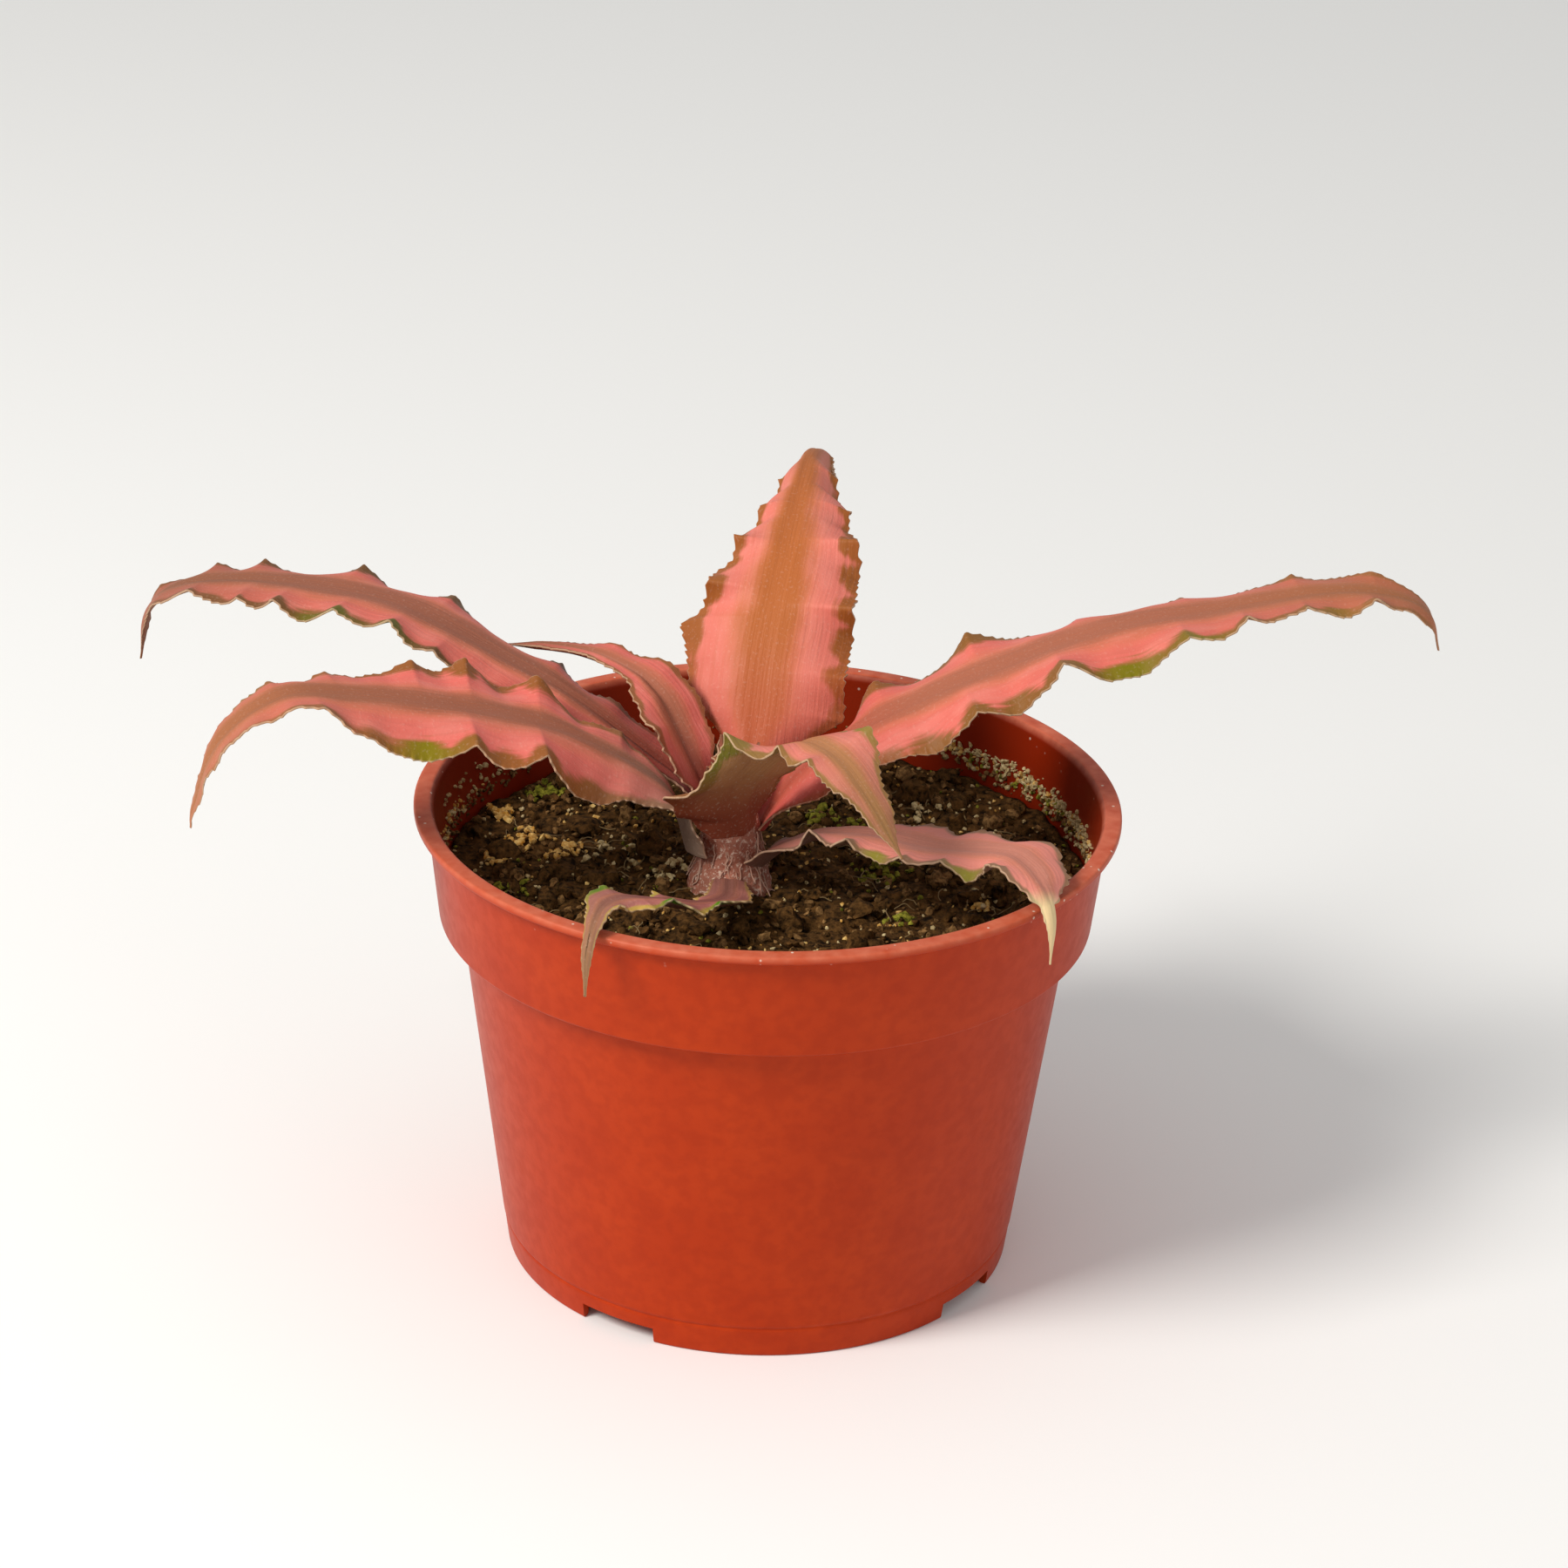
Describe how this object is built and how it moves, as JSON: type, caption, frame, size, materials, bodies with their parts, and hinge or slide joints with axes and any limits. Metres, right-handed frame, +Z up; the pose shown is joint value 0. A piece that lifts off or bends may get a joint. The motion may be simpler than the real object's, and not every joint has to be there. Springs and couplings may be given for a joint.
{
  "type": "potted earth star bromeliad",
  "caption": "Pink earth star bromeliad with waved, toothed leaves, growing in a round red-brown plastic nursery pot of soil.",
  "frame": {"origin": "on the surface that the pot stands on, under the middle of the whole outline; the pot's axis is at x -1.8 mm, y -12.4 mm", "axes": "+Z up, +X along the longest spread of the leaves, from the left leaves to the long right leaf; -Y is the front"},
  "size_m": [0.1961, 0.1297, 0.1096],
  "materials": {
    "pot_plastic": "moulded polypropylene, soft sheen",
    "soil": "damp crumbly potting mix",
    "stem": "dull, with pale scurf",
    "leaf": "waxy pink blade with brown midrib and olive edges"
  },
  "bodies": {
    "root": {"pot": "pot_plastic", "soil": "soil", "stem": "stem", "leaf_upper_left": "leaf", "leaf_lower_left": "leaf", "leaf_upright": "leaf", "leaf_long_right": "leaf", "leaf_inner": "leaf", "leaf_front": "leaf", "leaf_low_right": "leaf", "leaf_old_front": "leaf"}
  },
  "joints": []
}
